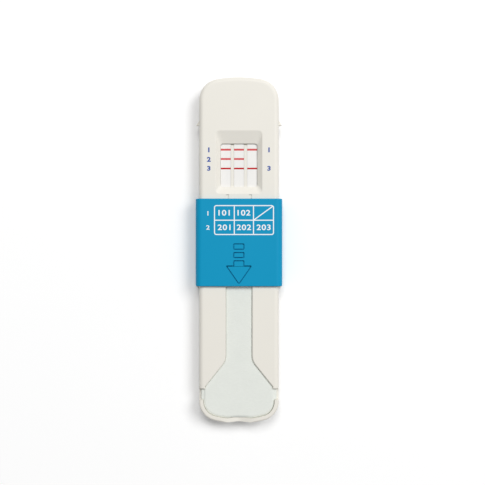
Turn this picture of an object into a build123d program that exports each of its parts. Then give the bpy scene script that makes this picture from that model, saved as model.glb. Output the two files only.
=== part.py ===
from build123d import *
import math
import os

os.makedirs("parts", exist_ok=True)

# Housing, in millimetres. X is across, Y runs from the tip to the head, Z is up.
body_length = 138.9
body_width = 32.0
body_height = 6.8
head_dome = 2.5  # rise of the head's outline from its corners to its middle
head_corner = 8.5
tip_dome = 3.2
tip_corner = 7.75
hollow_width = 9.3  # a shallow hollow in the middle of the tip
hollow_depth = 0.36
hollow_blend = 5.0
wall = 1.2  # side walls of both shells
skin = 1.2  # face of the top shell
floor = 1.2
edge_round = 1.8  # top edge of the housing
heel_round = 1.2  # bottom edge of the housing
seam_chamfer = 0.2
bottom_depth = 4.0  # bottom shell, from its underside to the seam

# Sliding sleeve
sleeve_length = 35.0
sleeve_wall = 1.2
sleeve_round = 2.6
sleeve_bore_round = 1.5
sleeve_end_break = 0.3
sleeve_overlap = 18.4  # how far the parked sleeve reaches past the strips' lower end, towards the tip
slide_gap = 0.2
stop_gap = 0.1

# Side barbs that stop the sleeve
barb_reach = 1.3
barb_height = 1.8
upper_barb_room = 19.2  # from the head to the upper barbs
upper_barb_ramp = 2.1
lower_barb_ramp = 1.5

# Test strips
strip_count = 3
strip_width = 4.0
strip_pitch = 5.33
strip_length = 60.0
strip_room = 5.6  # from the head to the strips' upper end
strip_fit = 0.06  # side play of a strip in its lane
card_thickness = 0.28
membrane_thickness = 0.14
membrane_foot_cover = 3.45  # the membranes reach this far under the window's edges
membrane_head_cover = 5.65
conjugate_thickness = 0.35
conjugate_length = 7.0
sample_thickness = 0.5
wick_thickness = 0.75
lap = 2.0  # how far one layer lies over the next
lap_ramp = 0.8  # run in which a layer climbs on to the next
lay_gap = 0.02  # between layers that lie on each other

# Reading window: a funnel of four slopes round an upright edge
window_width = 15.0
window_length = 17.5
window_place = 30.2  # from the strips' lower end to the middle of the window
window_corner = 1.1
mouth_corner = 1.6
slope_side = 1.85  # how far each slope runs outwards
slope_foot = 2.8
slope_head = 5.0
funnel_depth = 1.6
funnel_skin = 0.9  # thickness under the slopes
land = 0.45  # height of the upright edge
mouth_round = 0.3
window_gap = 0.2  # from the window's edge down to the membranes

# Collection pad, and the keyhole opening over it
channel_width = 10.5
channel_break = 0.35
bridge = 5.0  # how far the face covers the head of the pad
flare_width = 27.0
flare_length = 10.3
flare_round = 6.0
arm_lead = 0.9  # straight ends of the two arms beside the pad
notch_length = 4.5
rim_length = 9.2  # the rim runs round the tip from this far back
rim_height = 2.5  # above the seam
rim_wall = 1.7
rim_round = 0.8
scoop_width = 15.0
scoop_depth = 1.5
pad_thickness = 2.0
pad_edge_width = 0.75  # the edge of the pad's tip slopes down over this width
pad_edge_drop = 0.5
pad_fit = 0.15
pad_ear_reach = 0.85
pad_head_width = 14.4
pad_pinch_run = 2.4
well_wall = 1.0

# Guide grooves in the top shell, and the ribs of the sleeve that run in them
groove_spacing = 9.2
groove_width = 1.1
groove_depth = 0.4
groove_lead = 0.35  # from the slopes of the window to the end of the grooves
guide_fit = 0.15

# Lanes, ribs and pins inside
lane_wall = 1.0
lane_cover = 0.1  # the lanes stand this far above the membranes
divider_lead = 0.75  # the dividers end this far short of the window's upper edge
rib = 1.0
rib_pitch = 8.0
bar_gap = 0.05  # from a press bar down to the pads under it
pin_radius = 0.8
pin_length = 2.2
pin_fit = 0.05
pin_tip = 0.25
boss_wall = 0.9
boss_count = 4  # on each side
boss_inset = 3.5  # from the housing's side to the middle of a boss
boss_head_room = 11.5
boss_tip_room = 39.5
socket_spare = 0.4

# Distance within which an edge counts as lying on a face
near = 0.01

# Heights worked out from the sizes above
body_bottom = sleeve_wall + slide_gap
body_top = body_bottom + body_height
floor_top = body_bottom + floor
seam = body_bottom + bottom_depth
ceiling = body_top - skin
funnel_foot = body_top - funnel_depth
lip = funnel_foot - land
membrane_base = lip - window_gap - membrane_thickness
strip_bed = membrane_base - card_thickness
lane_top = membrane_base + membrane_thickness + lane_cover
sample_top = membrane_base + sample_thickness
pad_base = seam
pad_top = pad_base + pad_thickness
rim_top = seam + rim_height
sleeve_top = body_top + slide_gap + sleeve_wall
barb_base = seam - barb_height
on_face = (body_top - near, body_top + near)

# Places along the housing, worked out from its two ends
head_y = body_length / 2
tip_y = -body_length / 2
strip_end_y = head_y - strip_room
strip_start_y = strip_end_y - strip_length
window_y = strip_start_y + window_place
window_foot_y = window_y - window_length / 2
window_head_y = window_y + window_length / 2
membrane_start_y = window_foot_y - membrane_foot_cover
membrane_end_y = window_head_y + membrane_head_cover
conjugate_end_y = membrane_start_y + lap
conjugate_start_y = conjugate_end_y - conjugate_length
sample_end_y = conjugate_start_y + lap
wick_start_y = membrane_end_y - lap
pad_head_y = conjugate_start_y - lap_ramp - 10 * lay_gap
channel_end_y = pad_head_y - bridge
groove_end_y = window_foot_y - slope_foot - groove_lead
rim_start_y = tip_y + rim_length
arm_end_y = rim_start_y + notch_length
flare_end_y = arm_end_y + arm_lead
flare_start_y = flare_end_y + flare_length
sleeve_foot_y = strip_start_y - sleeve_overlap
sleeve_head_y = sleeve_foot_y + sleeve_length
upper_barb_y = head_y - upper_barb_room
lower_barb_y = sleeve_foot_y - stop_gap
travel = upper_barb_y - stop_gap - sleeve_head_y

# Places across the housing, and the places of what repeats
sleeve_width = body_width + 2 * (slide_gap + sleeve_wall)
strip_xs = [(index - (strip_count - 1) / 2) * strip_pitch for index in range(strip_count)]
lane_half = strip_xs[-1] + strip_width / 2 + strip_fit
divider_width = strip_pitch - strip_width - 2 * strip_fit
divider_xs = [(left + right) / 2 for left, right in zip(strip_xs, strip_xs[1:])]
groove_xs = (-groove_spacing / 2, groove_spacing / 2)
boss_x = body_width / 2 - boss_inset
boss_step = (body_length - boss_head_room - boss_tip_room) / (boss_count - 1)
boss_places = [(side * boss_x, head_y - boss_head_room - index * boss_step)
               for index in range(boss_count) for side in (-1, 1)]
press_bars = (
    ((sample_end_y + membrane_start_y) / 2, membrane_base + conjugate_thickness + bar_gap),
    ((membrane_end_y + strip_end_y) / 2, membrane_base + wick_thickness + bar_gap),
)


def bow_radius(width, rise):
    """Radius of an arc over a width that rises by this much in its middle."""
    return (width**2 / 4 + rise**2) / (2 * rise)


def bow_drop(radius, half):
    """How far below the middle of such an arc its ends lie."""
    return radius - math.sqrt(radius**2 - half**2)


def body_outline(inset=0.0):
    """Plan of the housing: straight sides, a domed head and a hollowed tip, moved in by the inset."""
    half = body_width / 2 - inset
    head_radius = bow_radius(body_width, head_dome)
    tip_radius = bow_radius(body_width, tip_dome)
    hollow_radius = bow_radius(hollow_width, hollow_depth)
    head_top_y = head_y - inset
    head_side_y = head_top_y - bow_drop(head_radius - inset, half)
    tip_foot_y = tip_y - bow_drop(tip_radius, hollow_width / 2) + inset
    tip_side_y = tip_foot_y + bow_drop(tip_radius - inset, half)
    with BuildSketch() as outline:
        with BuildLine():
            ThreePointArc((-half, head_side_y), (0, head_top_y), (half, head_side_y))
            Line((half, head_side_y), (half, tip_side_y))
            ThreePointArc((half, tip_side_y), (0, tip_foot_y), (-half, tip_side_y))
            Line((-half, tip_side_y), (-half, head_side_y))
        make_face()
        fillet(outline.vertices().group_by(Axis.Y)[-1], radius=head_corner - inset)
        fillet(outline.vertices().group_by(Axis.Y)[0], radius=tip_corner - inset)
        with Locations((0, tip_y + hollow_depth - hollow_radius)):
            Circle(hollow_radius + inset, mode=Mode.SUBTRACT)
        reach = hollow_width / 2 + inset + near
        fillet(outline.vertices().filter_by_position(Axis.X, -reach, reach), radius=hollow_blend - inset)
    return outline.sketch


def tip_outline(start_y, inset=0.0):
    """The part of the housing's plan that lies below a line across it."""
    with BuildSketch() as outline:
        add(body_outline(inset))
        with Locations((0, start_y)):
            Rectangle(body_width, body_length, align=(Align.CENTER, Align.MAX), mode=Mode.INTERSECT)
    return outline.sketch


def keyhole(head_end_y, foot_y, spread=0.0):
    """Plan of the opening over the pad, a neck and a flare towards the tip, moved out by the spread."""
    neck = channel_width / 2 + spread
    flare = flare_width / 2 + spread
    with BuildSketch() as outline:
        with BuildLine():
            Polyline((0, head_end_y), (neck, head_end_y), (neck, flare_start_y), (flare, flare_end_y),
                     (flare, foot_y), (0, foot_y))
            mirror(about=Plane.YZ)
        make_face()
        at_flare = (flare_start_y - near, flare_start_y + near)
        fillet(outline.vertices().filter_by_position(Axis.Y, *at_flare), radius=flare_round - spread)
    return outline.sketch


def funnel_section(share):
    """Level section of the window's slopes: 0 is the window itself, 1 is the wide mouth."""
    foot_y = window_foot_y - slope_foot * share
    length = window_head_y + slope_head * share - foot_y
    corner = window_corner + (mouth_corner - window_corner) * share
    with BuildSketch() as section:
        with Locations((0, foot_y + length / 2)):
            RectangleRounded(window_width + 2 * slope_side * share, length, corner)
    return section.sketch


def strip_layer(strip_x, thickness, free_y, lap_y, end_y, step):
    """One layer of a strip, laid on the card from its free end, with the other end up on its neighbour."""
    base = membrane_base
    climb = step + lay_gap
    ramp_y = lap_y - lap_ramp if end_y > free_y else lap_y + lap_ramp
    with BuildPart() as layer:
        with BuildSketch(Plane.YZ.offset(strip_x - strip_width / 2)):
            with BuildLine():
                Polyline((free_y, base), (ramp_y, base), (lap_y, base + climb), (end_y, base + climb),
                         (end_y, base + climb + thickness), (lap_y, base + climb + thickness),
                         (ramp_y, base + thickness), (free_y, base + thickness), close=True)
            make_face()
        extrude(amount=strip_width)
    return layer.part


# Bottom shell: tray, raised rim round the tip, lanes for the strips, cross ribs, sockets and barbs
with BuildPart() as bottom_shell:
    with BuildSketch(Plane.XY.offset(body_bottom)):
        add(body_outline())
    extrude(amount=bottom_depth)
    fillet(bottom_shell.faces().sort_by(Axis.Z)[0].edges(), radius=heel_round)

    # The rim stands on the tray's wall, with its outer edge rounded
    with BuildSketch(Plane.XY.offset(seam)):
        add(tip_outline(rim_start_y))
    extrude(amount=rim_height)
    rim_face = bottom_shell.faces().sort_by(Axis.Z)[-1]
    fillet(rim_face.edges().filter_by(Axis.X, reverse=True), radius=rim_round)
    with BuildSketch(Plane.XY.offset(floor_top)):
        add(body_outline(wall))
    extrude(amount=seam - floor_top, mode=Mode.SUBTRACT)
    with BuildSketch(Plane.XY.offset(seam)):
        add(tip_outline(rim_start_y + rim_wall, rim_wall))
    extrude(amount=rim_height, mode=Mode.SUBTRACT)

    # A shallow scoop lowers the rim in the middle
    with BuildSketch(Plane.XZ.offset(-tip_y)):
        with BuildLine():
            Spline((-scoop_width / 2, rim_top), (0, rim_top - scoop_depth), (scoop_width / 2, rim_top),
                   tangents=((1, 0), (1, 0)))
            Line((scoop_width / 2, rim_top), (-scoop_width / 2, rim_top))
        make_face()
    extrude(amount=-(tip_corner - rim_wall), mode=Mode.SUBTRACT)

    # Ribs across the tray carry the pad, and the lane bed carries the strips
    with BuildSketch(Plane.XY.offset(floor_top)):
        with GridLocations(0, rib_pitch, 1, int(body_length / rib_pitch)):
            Rectangle(body_width, rib)
        add(body_outline(wall), mode=Mode.INTERSECT)
        with Locations((0, strip_start_y - rib)):
            Rectangle(body_width, body_length, align=(Align.CENTER, Align.MAX), mode=Mode.INTERSECT)
    extrude(amount=pad_base - floor_top)
    with BuildSketch(Plane.XY.offset(floor_top)):
        with Locations((0, strip_start_y)):
            with GridLocations(0, rib_pitch, 1, 2 * int(strip_length / rib_pitch) + 1):
                Rectangle(2 * lane_half, rib)
            Rectangle(2 * lane_half, strip_length, align=(Align.CENTER, Align.MIN), mode=Mode.INTERSECT)
        for divider_x in divider_xs:
            with Locations((divider_x, strip_start_y)):
                Rectangle(divider_width, strip_length, align=(Align.CENTER, Align.MIN))
    extrude(amount=strip_bed - floor_top)

    # Lane walls, dividers between the strips, and the wall behind the strips
    lane_length = strip_length + strip_fit + lane_wall
    with BuildSketch(Plane.XY.offset(floor_top)):
        for side in (-1, 1):
            with Locations((side * (lane_half + lane_wall / 2), strip_start_y)):
                Rectangle(lane_wall, lane_length, align=(Align.CENTER, Align.MIN))
        with Locations((0, strip_start_y + lane_length)):
            Rectangle(2 * lane_half, lane_wall, align=(Align.CENTER, Align.MAX))
        divider_length = window_head_y - divider_lead - strip_start_y
        for divider_x in divider_xs:
            with Locations((divider_x, strip_start_y)):
                Rectangle(divider_width, divider_length, align=(Align.CENTER, Align.MIN))
    extrude(amount=lane_top - floor_top)

    # Sockets for the pins
    with BuildSketch(Plane.XY.offset(floor_top)):
        with Locations(*boss_places):
            Circle(pin_radius + pin_fit + boss_wall)
    extrude(amount=seam - floor_top)
    with BuildSketch(Plane.XY.offset(seam)):
        with Locations(*boss_places):
            Circle(pin_radius + pin_fit)
    extrude(amount=-(pin_length + socket_spare), mode=Mode.SUBTRACT)

    # Barbs: a square face towards the sleeve and a ramp away from it
    for barb_y, barb_end_y in ((upper_barb_y, upper_barb_y + upper_barb_ramp),
                               (lower_barb_y, lower_barb_y - lower_barb_ramp)):
        with BuildSketch(Plane.XY.offset(barb_base)):
            with BuildLine():
                Polyline((body_width / 2 - wall / 2, barb_y), (body_width / 2 + barb_reach, barb_y),
                         (body_width / 2, barb_end_y), (body_width / 2 - wall / 2, barb_end_y), close=True)
            make_face()
            mirror(about=Plane.YZ)
        extrude(amount=barb_height)
bottom_shell.part.label = "bottom_shell"
export_step(bottom_shell.part, "parts/bottom_shell.step")

# Top shell: face with the window and the keyhole opening, walls round the pad, press bars and pins
with BuildPart() as top_shell:
    with BuildSketch(Plane.XY.offset(seam)):
        add(body_outline())
    extrude(amount=body_top - seam)
    fillet(top_shell.faces().sort_by(Axis.Z)[-1].edges(), radius=edge_round)
    chamfer(top_shell.faces().sort_by(Axis.Z)[0].edges(), length=seam_chamfer)
    split(bisect_by=Plane((0, arm_end_y, 0), z_dir=(0, 1, 0)), keep=Keep.TOP)
    with BuildSketch(Plane.XY.offset(seam)):
        add(body_outline(wall))
        with Locations((0, arm_end_y + wall)):
            Rectangle(body_width, body_length * 2, align=(Align.CENTER, Align.MIN), mode=Mode.INTERSECT)
    extrude(amount=ceiling - seam, mode=Mode.SUBTRACT)

    # Walls that hold the pad at its sides, then the opening itself
    with BuildSketch(Plane.XY.offset(seam)):
        add(keyhole(strip_start_y - rib, arm_end_y, well_wall))
    extrude(amount=ceiling - seam)
    with BuildSketch(Plane.XY.offset(seam)):
        add(keyhole(channel_end_y, tip_y))
    extrude(amount=body_top - seam, mode=Mode.SUBTRACT)
    chamfer(top_shell.edges(Select.LAST).filter_by_position(Axis.Z, *on_face), length=channel_break)

    # Guide grooves for the sleeve's ribs
    with BuildSketch(Plane.XY.offset(body_top)):
        with Locations(*((groove_x, channel_end_y) for groove_x in groove_xs)):
            Rectangle(groove_width, groove_end_y - channel_end_y, align=(Align.CENTER, Align.MIN))
    extrude(amount=-groove_depth, mode=Mode.SUBTRACT)

    # The window: its slopes hang below the face, and end in an upright edge
    with BuildSketch(Plane.XY.offset(body_top - funnel_skin)):
        add(funnel_section(1))
    with BuildSketch(Plane.XY.offset(lip)):
        add(funnel_section((lip + funnel_skin - funnel_foot) / funnel_depth))
    loft()
    with BuildSketch(Plane.XY.offset(body_top)):
        add(funnel_section(1))
    with BuildSketch(Plane.XY.offset(funnel_foot)):
        add(funnel_section(0))
    loft(mode=Mode.SUBTRACT)
    fillet(top_shell.edges(Select.LAST).filter_by_position(Axis.Z, *on_face), radius=mouth_round)
    with BuildSketch(Plane.XY.offset(funnel_foot)):
        add(funnel_section(0))
    extrude(amount=lip - funnel_foot, mode=Mode.SUBTRACT)

    # Bars that press on the conjugate pads and the wick pads
    for bar_y, bar_foot in press_bars:
        with BuildSketch(Plane.XY.offset(bar_foot)):
            with Locations((0, bar_y)):
                Rectangle(2 * lane_half - 2 * strip_fit, rib)
        extrude(amount=ceiling - bar_foot)

    # Bosses with six-sided pins that press into the round sockets of the bottom shell
    with BuildSketch(Plane.XY.offset(seam)):
        with Locations(*boss_places):
            Circle(pin_radius + boss_wall)
    extrude(amount=ceiling - seam)
    with BuildSketch(Plane.XY.offset(seam)):
        with Locations(*boss_places):
            RegularPolygon(pin_radius, 6)
    extrude(amount=-pin_length)
    pin_ends = top_shell.faces().group_by(Axis.Z)[0]
    chamfer(pin_ends.edges(), length=pin_tip)
top_shell.part.label = "top_shell"
export_step(top_shell.part, "parts/top_shell.step")

# Sliding sleeve: a box section round the housing, with two ribs under its roof that run in the grooves
with BuildPart() as slide_sleeve:
    with BuildSketch(Plane.XZ.offset(-sleeve_foot_y)):
        with Locations((0, sleeve_top / 2)):
            RectangleRounded(sleeve_width, sleeve_top, sleeve_round)
            RectangleRounded(sleeve_width - 2 * sleeve_wall, sleeve_top - 2 * sleeve_wall, sleeve_bore_round,
                             mode=Mode.SUBTRACT)
    extrude(amount=-sleeve_length)
    chamfer(slide_sleeve.edges().filter_by(Axis.Y, reverse=True), length=sleeve_end_break)
    rib_top_y = groove_end_y - travel - guide_fit
    rib_foot = body_top - groove_depth + guide_fit
    with BuildSketch(Plane.XY.offset(rib_foot)):
        with Locations(*((groove_x, rib_top_y) for groove_x in groove_xs)):
            Rectangle(groove_width - 2 * guide_fit, rib_top_y - sleeve_foot_y - sleeve_end_break,
                      align=(Align.CENTER, Align.MAX))
    extrude(amount=sleeve_top - sleeve_wall - rib_foot)
slide_sleeve.part.label = "slide_sleeve"
export_step(slide_sleeve.part, "parts/slide_sleeve.step")

# Collection pad: neck, flare and tip in one sheet of fibre, pinched flat where it lies on the sample pads
with BuildPart() as collection_pad:
    with BuildSketch(Plane.XY.offset(pad_base)):
        add(keyhole(pad_head_y, rim_start_y, -pad_fit))
        with Locations((0, pad_head_y)):
            Rectangle(pad_head_width, bridge - pad_fit, align=(Align.CENTER, Align.MAX))
    extrude(amount=pad_thickness)
    with BuildSketch(Plane.YZ):
        with BuildLine():
            Polyline((tip_y, pad_base), (strip_start_y - pad_pinch_run, pad_base),
                     (strip_start_y, sample_top + lay_gap), (pad_head_y, sample_top + lay_gap),
                     (pad_head_y, ceiling - lay_gap), (channel_end_y, ceiling - lay_gap),
                     (channel_end_y - pad_pinch_run, pad_top), (tip_y, pad_top), close=True)
        make_face()
    extrude(amount=body_width, both=True, mode=Mode.INTERSECT)

    # The tip of the pad has a sloping edge, and a lower ear in each side notch
    with BuildSketch(Plane.XY.offset(pad_base)):
        add(tip_outline(arm_end_y, rim_wall + pad_fit))
    extrude(amount=pad_thickness - pad_edge_drop)
    with BuildSketch(Plane.XY.offset(pad_top - pad_edge_drop)):
        add(tip_outline(arm_end_y, rim_wall + pad_fit))
    with BuildSketch(Plane.XY.offset(pad_top)):
        add(tip_outline(arm_end_y, rim_wall + pad_fit + pad_edge_width))
    loft(ruled=True)
    ear_length = arm_end_y - rim_start_y - 2 * pad_fit
    with BuildSketch(Plane.XY.offset(pad_base)):
        with Locations((0, rim_start_y + pad_fit)):
            Rectangle(body_width - 2 * (rim_wall + pad_fit - pad_ear_reach), ear_length,
                      align=(Align.CENTER, Align.MIN))
    extrude(amount=pad_thickness - pad_edge_drop)
collection_pad.part.label = "collection_pad"
export_step(collection_pad.part, "parts/collection_pad.step")

# The strips: each a card with a membrane, a conjugate pad, a sample pad and a wick pad laid on it in turn
for number, strip_x in enumerate(strip_xs, start=1):
    with BuildPart() as backing_card:
        with BuildSketch(Plane.XY.offset(strip_bed)):
            with Locations((strip_x, strip_start_y)):
                Rectangle(strip_width, strip_length, align=(Align.CENTER, Align.MIN))
        extrude(amount=card_thickness)
    backing_card.part.label = f"backing_card_{number}"
    export_step(backing_card.part, f"parts/backing_card_{number}.step")

    with BuildPart() as membrane:
        with BuildSketch(Plane.XY.offset(membrane_base)):
            with Locations((strip_x, membrane_start_y)):
                Rectangle(strip_width, membrane_end_y - membrane_start_y, align=(Align.CENTER, Align.MIN))
        extrude(amount=membrane_thickness)
    membrane.part.label = f"membrane_{number}"
    export_step(membrane.part, f"parts/membrane_{number}.step")

    with BuildPart() as conjugate_pad:
        add(strip_layer(strip_x, conjugate_thickness, conjugate_start_y, membrane_start_y, conjugate_end_y,
                        membrane_thickness))
    conjugate_pad.part.label = f"conjugate_pad_{number}"
    export_step(conjugate_pad.part, f"parts/conjugate_pad_{number}.step")

    with BuildPart() as sample_pad:
        add(strip_layer(strip_x, sample_thickness, strip_start_y, conjugate_start_y, sample_end_y,
                        conjugate_thickness))
    sample_pad.part.label = f"sample_pad_{number}"
    export_step(sample_pad.part, f"parts/sample_pad_{number}.step")

    with BuildPart() as wick_pad:
        add(strip_layer(strip_x, wick_thickness, strip_end_y, membrane_end_y, wick_start_y,
                        membrane_thickness))
    wick_pad.part.label = f"wick_pad_{number}"
    export_step(wick_pad.part, f"parts/wick_pad_{number}.step")
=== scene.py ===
"""A saliva test cassette seen from above: cream housing, blue sliding sleeve, fibre pad and three strips."""
import logging
import math
from collections.abc import Iterable
from dataclasses import dataclass, field
from enum import Enum

import bmesh
import bpy
from mathutils import Matrix, Vector, noise


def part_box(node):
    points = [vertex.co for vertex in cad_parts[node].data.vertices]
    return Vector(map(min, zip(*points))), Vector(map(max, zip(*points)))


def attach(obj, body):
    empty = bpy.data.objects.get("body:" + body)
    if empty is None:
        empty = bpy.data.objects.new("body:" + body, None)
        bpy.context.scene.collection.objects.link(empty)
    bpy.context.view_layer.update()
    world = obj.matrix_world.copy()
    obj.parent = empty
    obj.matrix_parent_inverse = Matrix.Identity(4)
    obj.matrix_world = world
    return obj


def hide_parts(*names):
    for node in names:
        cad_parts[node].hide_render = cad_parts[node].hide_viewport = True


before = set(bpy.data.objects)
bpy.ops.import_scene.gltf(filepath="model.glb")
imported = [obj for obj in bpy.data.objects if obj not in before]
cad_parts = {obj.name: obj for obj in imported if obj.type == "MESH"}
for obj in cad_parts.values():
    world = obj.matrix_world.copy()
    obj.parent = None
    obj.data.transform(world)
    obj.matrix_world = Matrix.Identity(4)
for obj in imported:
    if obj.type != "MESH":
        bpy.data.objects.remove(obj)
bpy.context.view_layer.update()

log = logging.getLogger("cassette")

MM = 0.001

X_AXIS = Vector((1.0, 0.0, 0.0))
Y_AXIS = Vector((0.0, 1.0, 0.0))

LEVEL_NORMAL = 0.99  # a face is level if its normal reaches this far up or down
LEVEL_REACH = 0.01  # heights this close are the same, in millimetres
CUT_REACH = 1e-4  # a cut takes corners this close as lying on it, in millimetres
SHARP_EDGE = 45.0  # an edge turns sharply past this angle, in degrees
ARC_PROFILE = 0.5  # the bevel's profile that is an arc of a circle

FINE_DETAIL = 3.0  # finer layers in a noise that shows as grain
SOFT_DETAIL = 1.0  # and in one that shows as a soft wave

Colour = tuple[float, float, float]
Way = tuple[float, float, float]
Source = bpy.types.NodeSocket | float | tuple[float, ...]


class Body(Enum):
    """The two rigid bodies of the cassette."""

    HOUSING = "housing"
    SLEEVE = "sleeve"


class Slot(Enum):
    """Two of the record's material slots, by name. No piece in this script takes its finish from them."""

    SLEEVE = "sleeve"
    COLLECTION_FIBRE = "collection_fibre"


class Facing(Enum):
    """Which way a level face looks, as its normal's z."""

    UP = 1
    DOWN = -1


# ---------------------------------------------------------------- Finishes


class NodeBench:
    """A new material's node tree, with short calls that add nodes and join them."""

    def __init__(self, name: str) -> None:
        """Starts a material with its surface shader and its Object coordinates.

        Args:
            name: the material's name.
        """
        self.material = bpy.data.materials.new(name)
        self.material.use_nodes = True
        self.tree = self.material.node_tree
        self.shader = self.tree.nodes["Principled BSDF"]
        self.place = self.add("ShaderNodeTexCoord", {}).outputs["Object"]

    def add(self, kind: str, inputs: dict[str | int, Source], **settings: object) -> bpy.types.Node:
        """Adds a node.

        Args:
            kind: the node's type.
            inputs: what goes into each named or numbered socket, a value or another node's socket.
            settings: properties of the node itself.

        Returns:
            The new node.
        """
        node = self.tree.nodes.new(kind)
        for key, value in settings.items():
            setattr(node, key, value)
        self.fill(node, inputs)
        return node

    def fill(self, node: bpy.types.Node, inputs: dict[str | int, Source]) -> None:
        """Links or sets several of a node's sockets.

        Args:
            node: the node.
            inputs: what goes into each named or numbered socket, a value or another node's socket.
        """
        for socket, value in inputs.items():
            self.join(node.inputs[socket], value)

    def finish(self, inputs: dict[str | int, Source]) -> bpy.types.Material:
        """Fills the surface shader.

        Args:
            inputs: what goes into each of its named sockets.

        Returns:
            The finished material.
        """
        self.fill(self.shader, inputs)
        return self.material

    def join(self, socket: bpy.types.NodeSocket, value: Source) -> None:
        """Links a socket to another node's output, or gives it a value of its own.

        Args:
            socket: the input that is filled.
            value: a number, a tuple of numbers or an output socket.
        """
        if isinstance(value, bpy.types.NodeSocket):
            self.tree.links.new(value, socket)
        else:
            socket.default_value = value

    def noise(self, size: float, detail: float = 2.0, vector: Source | None = None) -> bpy.types.NodeSocket:
        """Soft noise from 0 to 1.

        Args:
            size: how wide its blotches are, in millimetres.
            detail: how many finer layers it has.
            vector: the coordinates that it reads, or None for the object's own.

        Returns:
            The noise's value.
        """
        node = self.add("ShaderNodeTexNoise", {"Vector": vector or self.place, "Scale": 1 / (size * MM),
                                               "Detail": detail})
        return node.outputs["Fac"]

    def math(self, operation: str, first: Source, second: Source = 0.0) -> bpy.types.NodeSocket:
        """One sum on two values.

        Args:
            operation: the Math node's operation.
            first: the first value.
            second: the second value.

        Returns:
            The result.
        """
        return self.add("ShaderNodeMath", {0: first, 1: second}, operation=operation).outputs[0]

    def spread(self, value: Source, low: float, high: float, start: float = 0.0,
               end: float = 1.0) -> bpy.types.NodeSocket:
        """Maps a value smoothly from one span to another.

        Args:
            value: the value that is mapped.
            low: the result at the start of the span.
            high: the result at the end of the span.
            start: where the span starts.
            end: where the span ends.

        Returns:
            The mapped value.
        """
        spans = {"Value": value, "From Min": start, "From Max": end, "To Min": low, "To Max": high}
        return self.add("ShaderNodeMapRange", spans, interpolation_type="SMOOTHSTEP").outputs["Result"]

    def blend(self, share: Source, first: Source, second: Source) -> bpy.types.NodeSocket:
        """Mixes two colours.

        Args:
            share: 0 gives the first colour and 1 the second.
            first: the first colour.
            second: the second colour.

        Returns:
            The mixed colour.
        """
        node = self.add("ShaderNodeMix", {0: share, 6: first, 7: second}, data_type="RGBA")
        return node.outputs[2]

    def mottled(self, share: Source, colour: Colour, dark: float, light: float) -> bpy.types.NodeSocket:
        """Goes between two shades of one colour.

        Args:
            share: 0 gives the darker shade and 1 the lighter.
            colour: the colour.
            dark: the darker shade's factor.
            light: the lighter shade's factor.

        Returns:
            The mixed colour.
        """
        return self.blend(share, opaque(colour, dark), opaque(colour, light))

    def bump(self, height: Source, depth: float, below: Source | None = None) -> bpy.types.NodeSocket:
        """Turns heights into a normal.

        Args:
            height: the heights, from 0 to 1.
            depth: how deep a height of 1 is, in millimetres.
            below: another bump's normal, on which this one lies.

        Returns:
            The normal.
        """
        inputs = {"Height": height, "Strength": 1.0, "Distance": depth * MM}
        if below is not None:
            inputs["Normal"] = below
        return self.add("ShaderNodeBump", inputs).outputs["Normal"]


def opaque(colour: Colour, factor: float = 1.0) -> tuple[float, float, float, float]:
    """The colour as a shader takes it, made lighter or darker by a factor, and cut off at 1."""
    return (*(min(1.0, part * factor) for part in colour), 1.0)


@dataclass(frozen=True)
class MouldedPlastic:
    """Satin plastic from a spark-eroded mould: a fine grain, and faint clouds in its colour."""

    name: str
    colour: Colour
    roughness: float
    roughness_sway: float = 0.05
    shine: float = 0.5
    clouding: float = 0.012
    cloud_size: float = 11.0
    grain_size: float = 0.16
    grain_depth: float = 0.006
    grain_span: tuple[float, float] = (0.3, 0.7)
    ripple_size: float = 4.0
    ripple_depth: float = 0.006

    def build(self) -> bpy.types.Material:
        """Makes the material."""
        bench = NodeBench(self.name)
        cloud = bench.noise(self.cloud_size, FINE_DETAIL)
        grain = bench.noise(self.grain_size, FINE_DETAIL)
        ripple = bench.bump(bench.noise(self.ripple_size, SOFT_DETAIL), self.ripple_depth)
        smoothest, roughest = self.roughness - self.roughness_sway, self.roughness + self.roughness_sway
        return bench.finish({
            "Base Color": bench.mottled(cloud, self.colour, 1 - self.clouding, 1 + self.clouding),
            "Normal": bench.bump(grain, self.grain_depth, ripple),
            "Roughness": bench.spread(grain, smoothest, roughest, *self.grain_span),
            "Specular IOR Level": self.shine,
        })


@dataclass(frozen=True)
class PressedFibre:
    """Matted fibres that lie in three directions, pressed into a sheet."""

    name: str
    colour: Colour
    fibre_length: float = 1.6
    fibre_width: float = 0.16
    turns: tuple[float, ...] = (12.0, 71.0, 133.0)
    height_span: tuple[float, float] = (0.42, 0.78)
    depth: float = 0.02
    blotch_size: float = 5.0
    shade: float = 0.05
    roughness: float = 0.92
    shine: float = 0.25
    sheen: float = 0.15
    sheen_roughness: float = 0.6

    def fibres(self, bench: NodeBench) -> bpy.types.NodeSocket:
        """Heights of crossing fibres, from 0 to 1."""
        stretch = (self.fibre_width / self.fibre_length, 1.0, 1.0)
        heights = None
        for turn in self.turns:
            across = bench.add("ShaderNodeMapping", {"Vector": bench.place, "Scale": stretch,
                                                     "Rotation": (0.0, 0.0, math.radians(turn))})
            strand = bench.noise(self.fibre_width, SOFT_DETAIL, across.outputs["Vector"])
            heights = strand if heights is None else bench.math("MAXIMUM", heights, strand)
        return bench.spread(heights, 0.0, 1.0, *self.height_span)

    def build(self) -> bpy.types.Material:
        """Makes the material."""
        bench = NodeBench(self.name)
        fibres = self.fibres(bench)
        blotches = bench.noise(self.blotch_size, FINE_DETAIL)
        mean = bench.math("MULTIPLY", bench.math("ADD", fibres, blotches), 0.5)
        return bench.finish({
            "Base Color": bench.mottled(mean, self.colour, 1 - self.shade, 1 + self.shade),
            "Normal": bench.bump(fibres, self.depth),
            "Roughness": self.roughness,
            "Specular IOR Level": self.shine,
            "Sheen Weight": self.sheen,
            "Sheen Roughness": self.sheen_roughness,
        })


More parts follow.
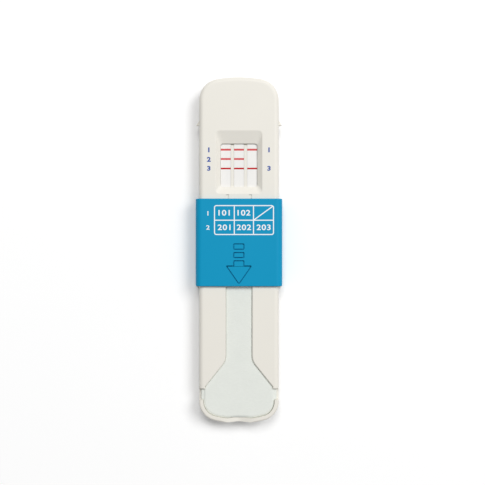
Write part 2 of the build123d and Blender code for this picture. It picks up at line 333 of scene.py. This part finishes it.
@dataclass(frozen=True)
class Line:
    """One line that has shown across a membrane. Sizes are in millimetres, in the shared frame."""

    y: float
    width: float
    colour: Colour
    strength: float


@dataclass(frozen=True)
class Membrane:
    """Smooth porous membrane with reaction lines across it."""

    name: str
    colour: Colour
    lines: tuple[Line, ...]
    edge: float = 0.05
    waver: float = 0.05
    waver_size: float = 0.5
    shades: tuple[float, float] = (0.975, 1.015)
    pore_size: float = 0.12
    pore_depth: float = 0.004
    roughness: float = 0.75
    shine: float = 0.3

    def build(self) -> bpy.types.Material:
        """Makes the material."""
        bench = NodeBench(self.name)
        pores = bench.noise(self.pore_size, FINE_DETAIL)
        colour = bench.mottled(pores, self.colour, *self.shades)
        along = bench.add("ShaderNodeSeparateXYZ", {"Vector": bench.place}).outputs["Y"]
        waver = bench.spread(bench.noise(self.waver_size), -self.waver * MM, self.waver * MM)
        y = bench.math("ADD", along, waver)
        for line in self.lines:
            off = bench.math("ABSOLUTE", bench.math("SUBTRACT", y, line.y * MM))
            half = line.width / 2
            share = bench.spread(off, line.strength, 0.0, (half - self.edge) * MM, (half + self.edge) * MM)
            colour = bench.blend(share, colour, opaque(line.colour))
        return bench.finish({
            "Base Color": colour,
            "Normal": bench.bump(pores, self.pore_depth),
            "Roughness": self.roughness,
            "Specular IOR Level": self.shine,
        })


@dataclass(frozen=True)
class PrintedInk:
    """A thin layer of ink, a little uneven in its cover."""

    name: str
    colour: Colour
    roughness: float = 0.5
    cover_size: float = 0.25
    shades: tuple[float, float] = (0.93, 1.06)
    relief: float = 0.004

    def build(self) -> bpy.types.Material:
        """Makes the material."""
        bench = NodeBench(self.name)
        cover = bench.noise(self.cover_size, FINE_DETAIL)
        return bench.finish({
            "Base Color": bench.mottled(cover, self.colour, *self.shades),
            "Normal": bench.bump(cover, self.relief),
            "Roughness": self.roughness,
        })


@dataclass(frozen=True)
class Backdrop:
    """Pale floor that the camera sees a little brighter than the light makes it, up to white."""

    name: str
    albedo: float = 0.8
    seen_albedo: float = 1.0
    lift: float = 0.05

    def build(self) -> bpy.types.Material:
        """Makes the material."""
        bench = NodeBench(self.name)
        path = bench.add("ShaderNodeLightPath", {})
        straight = bench.math("MAXIMUM", path.outputs["Is Camera Ray"], path.outputs["Is Glossy Ray"])
        clear = bench.math("MAXIMUM", straight, path.outputs["Is Transmission Ray"])
        plain, seen = (bench.add("ShaderNodeBsdfDiffuse", {"Color": opaque((grey, grey, grey))})
                       for grey in (self.albedo, self.seen_albedo))
        glow = bench.add("ShaderNodeEmission", {"Strength": self.lift})
        lifted = bench.add("ShaderNodeAddShader", {0: seen.outputs[0], 1: glow.outputs[0]})
        mixed = bench.add("ShaderNodeMixShader", {0: clear, 1: plain.outputs[0], 2: lifted.outputs[0]})
        bench.join(bench.tree.nodes["Material Output"].inputs["Surface"], mixed.outputs[0])
        return bench.material


HOUSING_PLASTIC = MouldedPlastic("housing_plastic", colour=(0.835, 0.808, 0.738), roughness=0.5)
SLEEVE_PLASTIC = MouldedPlastic("sleeve_plastic", colour=(0.0045, 0.305, 0.540), roughness=0.45, shine=0.12,
                                clouding=0.02)
PAD_FIBRE = PressedFibre("pad_fibre", colour=(0.800, 0.825, 0.775))
CONJUGATE_FIBRE = PressedFibre("conjugate_fibre", colour=(0.72, 0.50, 0.55), fibre_length=0.9,
                               fibre_width=0.06)
SAMPLE_FIBRE = PressedFibre("sample_fibre", colour=(0.85, 0.85, 0.82), fibre_length=0.6, fibre_width=0.08)
WICK_FIBRE = PressedFibre("wick_fibre", colour=(0.88, 0.88, 0.86), fibre_length=0.8, fibre_width=0.10)
CARD_PLASTIC = MouldedPlastic("card_plastic", colour=(0.85, 0.85, 0.84), roughness=0.4, grain_depth=0.002)
BLUE_INK = PrintedInk("blue_ink", colour=(0.025, 0.080, 0.360))
WHITE_INK = PrintedInk("white_ink", colour=(0.92, 0.93, 0.94))
BACKDROP = Backdrop("backdrop")

STRIP_LAYERS = {
    "backing_card": CARD_PLASTIC,
    "conjugate_pad": CONJUGATE_FIBRE,
    "sample_pad": SAMPLE_FIBRE,
    "wick_pad": WICK_FIBRE,
}


# ---------------------------------------------------------------- Making pieces


def dress_nodes(names: Iterable[str], material: bpy.types.Material) -> None:
    """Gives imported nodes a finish.

    Args:
        names: the nodes.
        material: what goes into each of their material slots.
    """
    for name in names:
        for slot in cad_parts[name].material_slots:
            slot.material = material
        log.info("%s: dressed with %s", name, material.name)


def finished_piece(name: str, mesh: bpy.types.Mesh, finish: bpy.types.Material, body: Body | None,
                   crease: float = 35.0) -> bpy.types.Object:
    """Puts a mesh into the scene as a smooth-shaded piece that rides on a body.

    Args:
        name: the piece's name.
        mesh: its mesh, in metres, in the shared frame.
        finish: its material.
        body: the body that it moves with, or None for the stage.
        crease: the angle in degrees past which an edge stays sharp.

    Returns:
        The new object.
    """
    piece = bpy.data.objects.new(name, mesh)
    bpy.context.scene.collection.objects.link(piece)
    mesh.materials.clear()
    mesh.materials.append(finish)
    mesh.shade_smooth()
    mesh.set_sharp_from_angle(angle=math.radians(crease))
    if body is None:
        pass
    else:
        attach(piece, body.value)
    log.info("%s: %d faces", name, len(mesh.polygons))
    return piece


def mesh_from(shape: bmesh.types.BMesh, name: str) -> bpy.types.Mesh:
    """Turns a shape in millimetres into a mesh in metres, with its faces outwards, and frees the shape.

    Args:
        shape: the shape, a closed form.
        name: the mesh's name.

    Returns:
        The mesh.
    """
    bmesh.ops.scale(shape, vec=(MM, MM, MM), verts=shape.verts[:])
    bmesh.ops.recalc_face_normals(shape, faces=shape.faces[:])
    mesh = bpy.data.meshes.new(name)
    shape.to_mesh(mesh)
    shape.free()
    return mesh


def add_plate(shape: bmesh.types.BMesh, centre: tuple[float, float], size: tuple[float, float], level: float,
              corner: float = 0.0, segments: int = 4) -> bmesh.types.BMFace:
    """Adds a level rectangle, with round corners if asked.

    Args:
        shape: what it is added to.
        centre: its middle, x and y.
        size: its width and length.
        level: its height.
        corner: radius of its corners.
        segments: faces round each corner.

    Returns:
        The rectangle's face.
    """
    before = set(shape.faces)
    corners = bmesh.ops.create_grid(shape, x_segments=1, y_segments=1, size=0.5)["verts"]
    bmesh.ops.scale(shape, vec=(size[0], size[1], 1.0), verts=corners)
    bmesh.ops.translate(shape, vec=(centre[0], centre[1], level), verts=corners)
    if corner:
        round_off(shape, corners, corner, segments)
    return next(face for face in shape.faces if face not in before)


def round_off(shape: bmesh.types.BMesh, parts: list[bmesh.types.BMVert] | list[bmesh.types.BMEdge],
              radius: float, segments: int) -> None:
    """Rounds a plate's corners, or a form's edges.

    Args:
        shape: what they belong to.
        parts: the corners or the edges, all of one kind.
        radius: how far the rounding reaches from each.
        segments: faces in each rounding.
    """
    affect = "VERTICES" if isinstance(parts[0], bmesh.types.BMVert) else "EDGES"
    bmesh.ops.bevel(shape, geom=parts, offset=radius, offset_type="OFFSET", segments=segments,
                    profile=ARC_PROFILE, affect=affect, material=-1)


def draw_out(shape: bmesh.types.BMesh, faces: list[bmesh.types.BMFace], way: Way) -> None:
    """Draws faces out along a straight way, with walls at their sides. The faces themselves stay behind.

    Args:
        shape: what the faces belong to.
        faces: the faces.
        way: how far they are drawn in x, y and z.
    """
    grown = bmesh.ops.extrude_face_region(shape, geom=faces)["geom"]
    moved = [part for part in grown if isinstance(part, bmesh.types.BMVert)]
    bmesh.ops.translate(shape, vec=way, verts=moved)


def lower(shape: bmesh.types.BMesh, faces: list[bmesh.types.BMFace], depth: float) -> None:
    """Moves some faces of a closed form straight down, and draws walls to them from where they were.

    Args:
        shape: what the faces belong to.
        faces: the faces.
        depth: how far they go down.
    """
    draw_out(shape, faces, (0.0, 0.0, -depth))
    bmesh.ops.delete(shape, geom=faces, context="FACES")


def cut_across(shape: bmesh.types.BMesh, faces: list[bmesh.types.BMFace], point: Vector,
               normal: Vector) -> list[bmesh.types.BMFace]:
    """Cuts level faces along a straight line.

    Args:
        shape: what the faces belong to.
        faces: the faces.
        point: a point that the line goes through.
        normal: the direction across the line.

    Returns:
        The faces with the new ones that the cut made.
    """
    around = dict.fromkeys(part for face in faces for part in (*face.edges, *face.verts))
    cut = bmesh.ops.bisect_plane(shape, geom=[*faces, *around], plane_co=point, plane_no=normal,
                                 dist=CUT_REACH)["geom"]
    return list(dict.fromkeys([*faces, *(part for part in cut if isinstance(part, bmesh.types.BMFace))]))


def level_faces(shape: bmesh.types.BMesh, level: float, facing: Facing) -> list[bmesh.types.BMFace]:
    """Finds the level faces at one height.

    Args:
        shape: what they belong to.
        level: the height.
        facing: whether they look up or down.

    Returns:
        The faces.
    """
    return [face for face in shape.faces if face.normal.z * facing.value > LEVEL_NORMAL
            and abs(face.calc_center_median().z - level) < LEVEL_REACH]


@dataclass(frozen=True)
class Mark:
    """One plain number in a print."""

    text: str
    x: float
    y: float


@dataclass
class NumberPrint:
    """Plain numbers printed on a level face. Sizes are in millimetres."""

    name: str
    marks: tuple[Mark, ...]
    digit_height: float
    level: float
    body: Body
    ink: PrintedInk
    boldness: float = 0.018
    breadth: float = 1.2
    tracking: float = 1.1
    thickness: float = 0.02
    resolution: int = 6
    merge_share: float = 1e-5

    def digits(self, text: str) -> bmesh.types.BMesh:
        """Draws one number and makes it a shape.

        Args:
            text: the number's digits.

        Returns:
            The number, centred on the origin, at its real size.
        """
        curve = bpy.data.curves.new(self.name, "FONT")
        curve.body = text
        curve.offset = self.boldness
        curve.space_character = self.tracking
        curve.resolution_u = self.resolution
        holder = bpy.data.objects.new(self.name, curve)
        flat = bpy.data.meshes.new_from_object(holder)
        shape = bmesh.new()
        shape.from_mesh(flat)
        bpy.data.objects.remove(holder)
        bpy.data.curves.remove(curve)
        bpy.data.meshes.remove(flat)
        bmesh.ops.remove_doubles(shape, verts=shape.verts[:], dist=self.merge_share)
        xs = [vert.co.x for vert in shape.verts]
        ys = [vert.co.y for vert in shape.verts]
        middle = Vector(((min(xs) + max(xs)) / 2, (min(ys) + max(ys)) / 2, 0.0))
        scale = self.digit_height / (max(ys) - min(ys))
        bmesh.ops.translate(shape, vec=-middle, verts=shape.verts[:])
        bmesh.ops.scale(shape, vec=(scale * self.breadth, scale, 1.0), verts=shape.verts[:])
        return shape

    def build(self) -> bpy.types.Object:
        """Makes the print as one piece."""
        whole = bmesh.new()
        for mark in self.marks:
            shape = self.digits(mark.text)
            bmesh.ops.translate(shape, vec=(mark.x, mark.y, self.level), verts=shape.verts[:])
            part = bpy.data.meshes.new(self.name)
            shape.to_mesh(part)
            shape.free()
            whole.from_mesh(part)
            bpy.data.meshes.remove(part)
        draw_out(whole, whole.faces[:], (0.0, 0.0, self.thickness))
        return finished_piece(self.name, mesh_from(whole, self.name), self.ink.build(), self.body)


# ---------------------------------------------------------------- The cassette's sub-assemblies


@dataclass
class Housing:
    """The two cream shells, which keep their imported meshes."""

    shells: tuple[str, ...] = ("top_shell", "bottom_shell")
    finish: MouldedPlastic = HOUSING_PLASTIC

    def dress(self) -> None:
        """Gives both shells their plastic."""
        dress_nodes(self.shells, self.finish.build())


@dataclass
class WindowNumbers:
    """Blue numbers beside the window, one for each row of lines."""

    level: float = 8.2
    digit_height: float = 1.95
    left_x: float = -12.06
    right_x: float = 12.04
    rows: tuple[float, ...] = (40.03, 36.21, 32.63)

    def build(self) -> bpy.types.Object:
        """Prints the numbers on the housing."""
        left = [Mark(str(number), self.left_x, y) for number, y in enumerate(self.rows, start=1)]
        right = [Mark("1", self.right_x, self.rows[0]), Mark("3", self.right_x, self.rows[-1])]
        return NumberPrint("window_numbers", tuple(left + right), self.digit_height, self.level, Body.HOUSING,
                           BLUE_INK, boldness=0.045).build()


@dataclass
class TestStrips:
    """The three strips, with the lines that have shown in the window."""

    membrane_colour: Colour = (0.880, 0.868, 0.845)
    control: Line = Line(40.39, 0.78, (0.66, 0.070, 0.075), 0.97)
    first: Line = Line(36.63, 0.80, (0.66, 0.080, 0.085), 0.95)
    second: Line = Line(32.79, 0.66, (0.52, 0.003, 0.006), 1.0)

    def lines(self) -> dict[int, tuple[Line, ...]]:
        """The lines on each strip, by the strip's number."""
        both = (self.control, self.first, self.second)
        return {1: both, 2: both, 3: (self.control, self.second)}

    def dress(self) -> None:
        """Gives every layer of every strip its finish."""
        for number, lines in self.lines().items():
            paper = Membrane(f"membrane_{number}_paper", self.membrane_colour, lines)
            dress_nodes([f"membrane_{number}"], paper.build())
        for layer, finish in STRIP_LAYERS.items():
            dress_nodes([f"{layer}_{number}" for number in self.lines()], finish.build())


@dataclass
class CollectionPad:
    """The fibre pad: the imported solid's form, soft at its edges and a little uneven, as pressed fibre is."""

    node: str = "collection_pad"
    merge: float = 0.001
    voxel: float = 0.24
    softening: int = 1
    softening_share: float = 0.5
    swell: float = 0.16
    wave: float = 0.08
    wave_size: float = 6.0
    nap: float = 0.03
    nap_size: float = 0.8

    def softened(self) -> bpy.types.Mesh:
        """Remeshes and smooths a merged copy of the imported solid.

        Returns:
            The softened mesh.
        """
        shape = bmesh.new()
        shape.from_mesh(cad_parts[self.node].data)
        bmesh.ops.remove_doubles(shape, verts=shape.verts[:], dist=self.merge * MM)
        merged = bpy.data.meshes.new(self.node)
        shape.to_mesh(merged)
        shape.free()
        holder = bpy.data.objects.new(self.node, merged)
        bpy.context.scene.collection.objects.link(holder)
        remesh = holder.modifiers.new("remesh", "REMESH")
        remesh.mode = "VOXEL"
        remesh.voxel_size = self.voxel * MM
        smooth = holder.modifiers.new("smooth", "SMOOTH")
        smooth.factor = self.softening_share
        smooth.iterations = self.softening
        depsgraph = bpy.context.evaluated_depsgraph_get()
        soft = bpy.data.meshes.new_from_object(holder.evaluated_get(depsgraph))
        bpy.data.objects.remove(holder)
        bpy.data.meshes.remove(merged)
        return soft

    @staticmethod
    def sunken(point: Vector, size: float, depth: float) -> float:
        """The height at a point, below 0, where noise of this size sinks the surface by up to the depth."""
        return (noise.noise(point / size) - 1) / 2 * depth

    def build(self) -> bpy.types.Object:
        """Makes the pad, its sides swelled against the walls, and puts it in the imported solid's place."""
        soft = self.softened()
        normals = [vert.normal.copy() for vert in soft.vertices]
        for vert, normal in zip(soft.vertices, normals):
            point = vert.co / MM
            wave = self.sunken(point, self.wave_size, self.wave)
            nap = self.sunken(point, self.nap_size, self.nap)
            side = Vector((normal.x, normal.y, 0.0))
            vert.co += (side * self.swell + normal * (wave + nap)) * MM
        pad = finished_piece("fibre_pad", soft, PAD_FIBRE.build(), Body.HOUSING, crease=180.0)
        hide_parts(self.node)
        return pad


@dataclass
class SlideSleeve:
    """The blue sleeve: a flat box section with softened ends, and an arrow carved in its roof."""

    node: str = "slide_sleeve"
    wall: float = 1.2
    corner: float = 2.6
    corner_segments: int = 10
    end_round: float = 0.3
    end_segments: int = 3
    rib_x: float = 4.6
    rib_width: float = 0.8
    rib_end_y: float = -7.70
    rib_depth: float = 0.45
    line: float = 0.42
    carving: float = 0.75
    arrow_x: float = -0.03
    bars: tuple[tuple[float, float], ...] = ((2.55, 0.03), (-0.89, -3.29))
    bar_width: float = 4.45
    bar_corner: float = 0.45
    bar_segments: int = 3
    shaft_top: float = -4.17
    head_top: float = -6.22
    head_width: float = 10.8
    tip: float = -13.94
    head_round: float = 0.8
    head_segments: int = 4
    low: Vector = field(init=False)
    high: Vector = field(init=False)

    def __post_init__(self) -> None:
        """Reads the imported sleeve's box, in millimetres."""
        self.low, self.high = (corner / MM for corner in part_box(self.node))

    def tube(self) -> bmesh.types.BMesh:
        """The plain sleeve: a ring drawn out along the housing, its ends rounded.

        Returns:
            The closed tube.
        """
        shape = bmesh.new()
        width = self.high.x - self.low.x
        outline = add_plate(shape, (0.0, self.high.z / 2), (width, self.high.z), 0.0, self.corner,
                            self.corner_segments)
        bmesh.ops.inset_region(shape, faces=[outline], thickness=self.wall, use_even_offset=True,
                               use_boundary=True)
        bmesh.ops.delete(shape, geom=[outline], context="FACES")
        bmesh.ops.rotate(shape, cent=(0.0, 0.0, 0.0), matrix=Matrix.Rotation(math.pi / 2, 3, "X"),
                         verts=shape.verts[:])
        bmesh.ops.translate(shape, vec=(0.0, self.low.y, 0.0), verts=shape.verts[:])
        draw_out(shape, shape.faces[:], (0.0, self.high.y - self.low.y, 0.0))
        bmesh.ops.recalc_face_normals(shape, faces=shape.faces[:])
        ends = [edge for edge in shape.edges if edge.calc_face_angle(0.0) > math.radians(SHARP_EDGE)]
        round_off(shape, ends, self.end_round, self.end_segments)
        return shape

    def guide_ribs(self, shape: bmesh.types.BMesh) -> None:
        """Draws the two ribs down from the roof inside, from the sleeve's foot.

        Args:
            shape: the tube, which gets the ribs.
        """
        ceiling = self.high.z - self.wall
        half = self.rib_width / 2
        sides = [middle + step for middle in (-self.rib_x, self.rib_x) for step in (-half, half)]
        for place, axis in [*((x, X_AXIS) for x in sides), (self.rib_end_y, Y_AXIS)]:
            cut_across(shape, level_faces(shape, ceiling, Facing.DOWN), axis * place, axis)
        feet = [face for face in level_faces(shape, ceiling, Facing.DOWN)
                if abs(abs(face.calc_center_median().x) - self.rib_x) < self.rib_width / 4
                and face.calc_center_median().y < self.rib_end_y]
        lower(shape, feet, self.rib_depth)

    def arrow_outlines(self, shape: bmesh.types.BMesh) -> list[bmesh.types.BMFace]:
        """Draws the arrow's head and its two bars on the roof's level.

        Args:
            shape: the tube, which gets them as loose faces.

        Returns:
            The three faces.
        """
        outlines = []
        for top, foot in self.bars:
            middle, size = (self.arrow_x, (top + foot) / 2), (self.bar_width, top - foot)
            outlines.append(add_plate(shape, middle, size, self.high.z, self.bar_corner, self.bar_segments))
        half, head = self.bar_width / 2, self.head_width / 2
        right = [(half, self.shaft_top), (half, self.head_top), (head, self.head_top), (0.0, self.tip)]
        left = [(-x, y) for x, y in reversed(right[:-1])]
        corners = [shape.verts.new((self.arrow_x + x, y, self.high.z)) for x, y in right + left]
        before = set(shape.faces)
        shape.faces.new(corners)
        shaft_end = [corners[0], corners[-1]]
        barbs_and_tip = corners[2:5]
        round_off(shape, barbs_and_tip, self.head_round, self.head_segments)
        round_off(shape, shaft_end, self.bar_corner, self.bar_segments)
        outlines.append(next(face for face in shape.faces if face not in before))
        return outlines

    def carve_arrow(self, shape: bmesh.types.BMesh) -> None:
        """Sinks the arrow's outline into the roof.

        Args:
            shape: the tube, which gets the carving.
        """
        roof = max(level_faces(shape, self.high.z, Facing.UP), key=lambda face: face.calc_area())
        bmesh.ops.delete(shape, geom=[roof], context="FACES_ONLY")
        outlines = self.arrow_outlines(shape)
        rim = [edge for edge in shape.edges if edge.is_boundary]
        bmesh.ops.triangle_fill(shape, use_beauty=True, use_dissolve=False, edges=rim, normal=(0.0, 0.0, 1.0))
        for outline in outlines:
            band = bmesh.ops.inset_region(shape, faces=[outline], thickness=self.line, use_even_offset=True)
            lower(shape, band["faces"], self.carving)

    def build(self) -> bpy.types.Object:
        """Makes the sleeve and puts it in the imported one's place."""
        shape = self.tube()
        self.guide_ribs(shape)
        self.carve_arrow(shape)
        mesh = mesh_from(shape, "carved_sleeve")
        sleeve = finished_piece("carved_sleeve", mesh, SLEEVE_PLASTIC.build(), Body.SLEEVE)
        weighted = sleeve.modifiers.new("weighted_normals", "WEIGHTED_NORMAL")
        weighted.keep_sharp = True
        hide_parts(self.node)
        return sleeve


@dataclass
class SleeveTable:
    """White print on the sleeve: a table of two rows and three columns, with plain numbers in it."""

    level: float = 9.6
    left: float = -9.93
    right: float = 13.97
    top: float = 17.83
    foot: float = 5.92
    columns: tuple[float, ...] = (-1.85, 5.80)
    row: float = 11.81
    line: float = 0.40
    corner: float = 0.95
    corner_segments: int = 5
    thickness: float = 0.02
    digit_height: float = 2.25
    row_digit_height: float = 1.75
    row_x: float = -12.36
    row_ys: tuple[float, ...] = (14.55, 8.93)
    cells: tuple[Mark, ...] = (Mark("101", -5.91, 14.78), Mark("102", 1.99, 14.78), Mark("201", -5.91, 8.98),
                               Mark("202", 1.99, 8.98), Mark("203", 9.84, 8.98))

    def ruled_face(self) -> bmesh.types.BMesh:
        """Rules the table: cells are cut from a rounded plate, and only the lines between them stay.

        Returns:
            The lines, still flat.
        """
        shape = bmesh.new()
        half = self.line / 2
        middle = ((self.left + self.right) / 2, (self.top + self.foot) / 2)
        size = (self.right - self.left, self.top - self.foot)
        plate = add_plate(shape, middle, size, self.level, self.corner, self.corner_segments)
        bmesh.ops.inset_region(shape, faces=[plate], thickness=half, use_even_offset=True, use_boundary=True)
        cells = [plate]
        for place, axis in [*((x, X_AXIS) for x in self.columns), (self.row, Y_AXIS)]:
            cells = cut_across(shape, cells, axis * place, axis)
        bmesh.ops.inset_individual(shape, faces=cells, thickness=half, use_even_offset=True)
        self.slash(shape, cells)
        bmesh.ops.delete(shape, geom=[cell for cell in cells if cell.is_valid], context="FACES")
        return shape

    def slash(self, shape: bmesh.types.BMesh, cells: list[bmesh.types.BMFace]) -> None:
        """Keeps a line from corner to corner of the last cell of the upper row.

        Args:
            shape: the table's plate.
            cells: its six cells, from which that cell's line is taken out.
        """
        cell = max(cells, key=lambda face: face.calc_center_median().x + face.calc_center_median().y)
        start = Vector((self.columns[-1], self.row, 0.0))
        end = Vector((self.right - self.line, self.top - self.line, 0.0))
        along = (end - start).normalized()
        across = Vector((-along.y, along.x, 0.0))
        half = self.line / 2
        cells.remove(cell)
        pieces = [cell]
        for side in (-1, 1):
            pieces = cut_across(shape, pieces, start + across * side * half, across)
        cells.extend(face for face in pieces if abs((face.calc_center_median() - start).dot(across)) > half)

    def build(self) -> None:
        """Prints the table, the numbers in its cells and the two numbers before its rows."""
        shape = self.ruled_face()
        draw_out(shape, shape.faces[:], (0.0, 0.0, self.thickness))
        finished_piece("sleeve_table", mesh_from(shape, "sleeve_table"), WHITE_INK.build(), Body.SLEEVE)
        rows = tuple(Mark(str(number), self.row_x, y) for number, y in enumerate(self.row_ys, start=1))
        for name, marks, height in (("sleeve_numbers", self.cells, self.digit_height),
                                    ("sleeve_row_numbers", rows, self.row_digit_height)):
            NumberPrint(name, marks, height, self.level, Body.SLEEVE, WHITE_INK).build()


# ---------------------------------------------------------------- Stage, light and camera


@dataclass(frozen=True)
class Softbox:
    """A square lamp that faces the cassette. Its share is how much of full light it gives a level face."""

    name: str
    azimuth: float
    elevation: float
    size: float
    share: float
    distance: float = 2.5

    def build(self, target: Vector) -> None:
        """Hangs the lamp.

        Args:
            target: the point that it faces.
        """
        azimuth, elevation = math.radians(self.azimuth), math.radians(self.elevation)
        towards = Vector((math.cos(azimuth) * math.cos(elevation), math.sin(azimuth) * math.cos(elevation),
                          math.sin(elevation)))
        lamp = bpy.data.lights.new(self.name, "AREA")
        lamp.shape = "SQUARE"
        lamp.size = self.size
        lamp.energy = self.share * (math.pi * self.distance) ** 2 / math.sin(elevation)
        holder = bpy.data.objects.new(self.name, lamp)
        holder.location = target + towards * self.distance
        holder.rotation_mode = "QUATERNION"
        holder.rotation_quaternion = towards.to_track_quat("Z", "Y")
        bpy.context.scene.collection.objects.link(holder)


@dataclass
class Studio:
    """White floor, soft light from the upper right, and a camera that looks straight down."""

    floor_size: float = 1400.0
    ambient: float = 0.31
    camera_x: float = 1.42
    camera_y: float = 2.93
    camera_z: float = 291.0
    half_view: float = 18.95
    sensor: float = 36.0
    nearest: float = 10.0
    farthest: float = 10000.0
    lamps: tuple[Softbox, ...] = (
        Softbox("right_softbox", azimuth=35.0, elevation=52.0, size=1.10, share=0.385),
        Softbox("upper_softbox", azimuth=95.0, elevation=58.0, size=0.95, share=0.310),
    )

    def floor(self) -> None:
        """Lays the floor under the cassette."""
        shape = bmesh.new()
        add_plate(shape, (0.0, 0.0), (self.floor_size, self.floor_size), 0.0)
        finished_piece("floor", mesh_from(shape, "floor"), BACKDROP.build(), None)

    def surroundings(self) -> None:
        """Even light from all sides, which the camera sees as white."""
        world = bpy.data.worlds.new("surroundings")
        world.use_nodes = True
        nodes, links = world.node_tree.nodes, world.node_tree.links
        path = nodes.new("ShaderNodeLightPath")
        seen = nodes.new("ShaderNodeMapRange")
        seen.inputs["To Min"].default_value = self.ambient
        seen.inputs["To Max"].default_value = 1.0
        links.new(path.outputs["Is Camera Ray"], seen.inputs["Value"])
        links.new(seen.outputs["Result"], nodes["Background"].inputs["Strength"])
        nodes["Background"].inputs["Color"].default_value = (1.0, 1.0, 1.0, 1.0)
        bpy.context.scene.world = world

    def camera(self) -> None:
        """Hangs the camera over the cassette and makes it the scene's own."""
        lens = bpy.data.cameras.new("camera")
        lens.sensor_width = self.sensor
        lens.lens = self.sensor / 2 / math.tan(math.radians(self.half_view))
        lens.clip_start, lens.clip_end = self.nearest * MM, self.farthest * MM
        holder = bpy.data.objects.new("camera", lens)
        holder.location = Vector((self.camera_x, self.camera_y, self.camera_z)) * MM
        bpy.context.scene.collection.objects.link(holder)
        bpy.context.scene.camera = holder

    def build(self) -> None:
        """Sets up the stage."""
        self.camera()
        self.floor()
        self.surroundings()
        for lamp in self.lamps:
            lamp.build(Vector((0.0, 0.0, 0.0)))
        bpy.context.scene.view_settings.view_transform = "Standard"


def main() -> None:
    """Builds the cassette and its stage."""
    logging.basicConfig(level=logging.INFO, format="%(name)s: %(message)s")
    Housing().dress()
    WindowNumbers().build()
    TestStrips().dress()
    CollectionPad().build()
    SlideSleeve().build()
    SleeveTable().build()
    Studio().build()


if __name__ == "__main__":
    main()
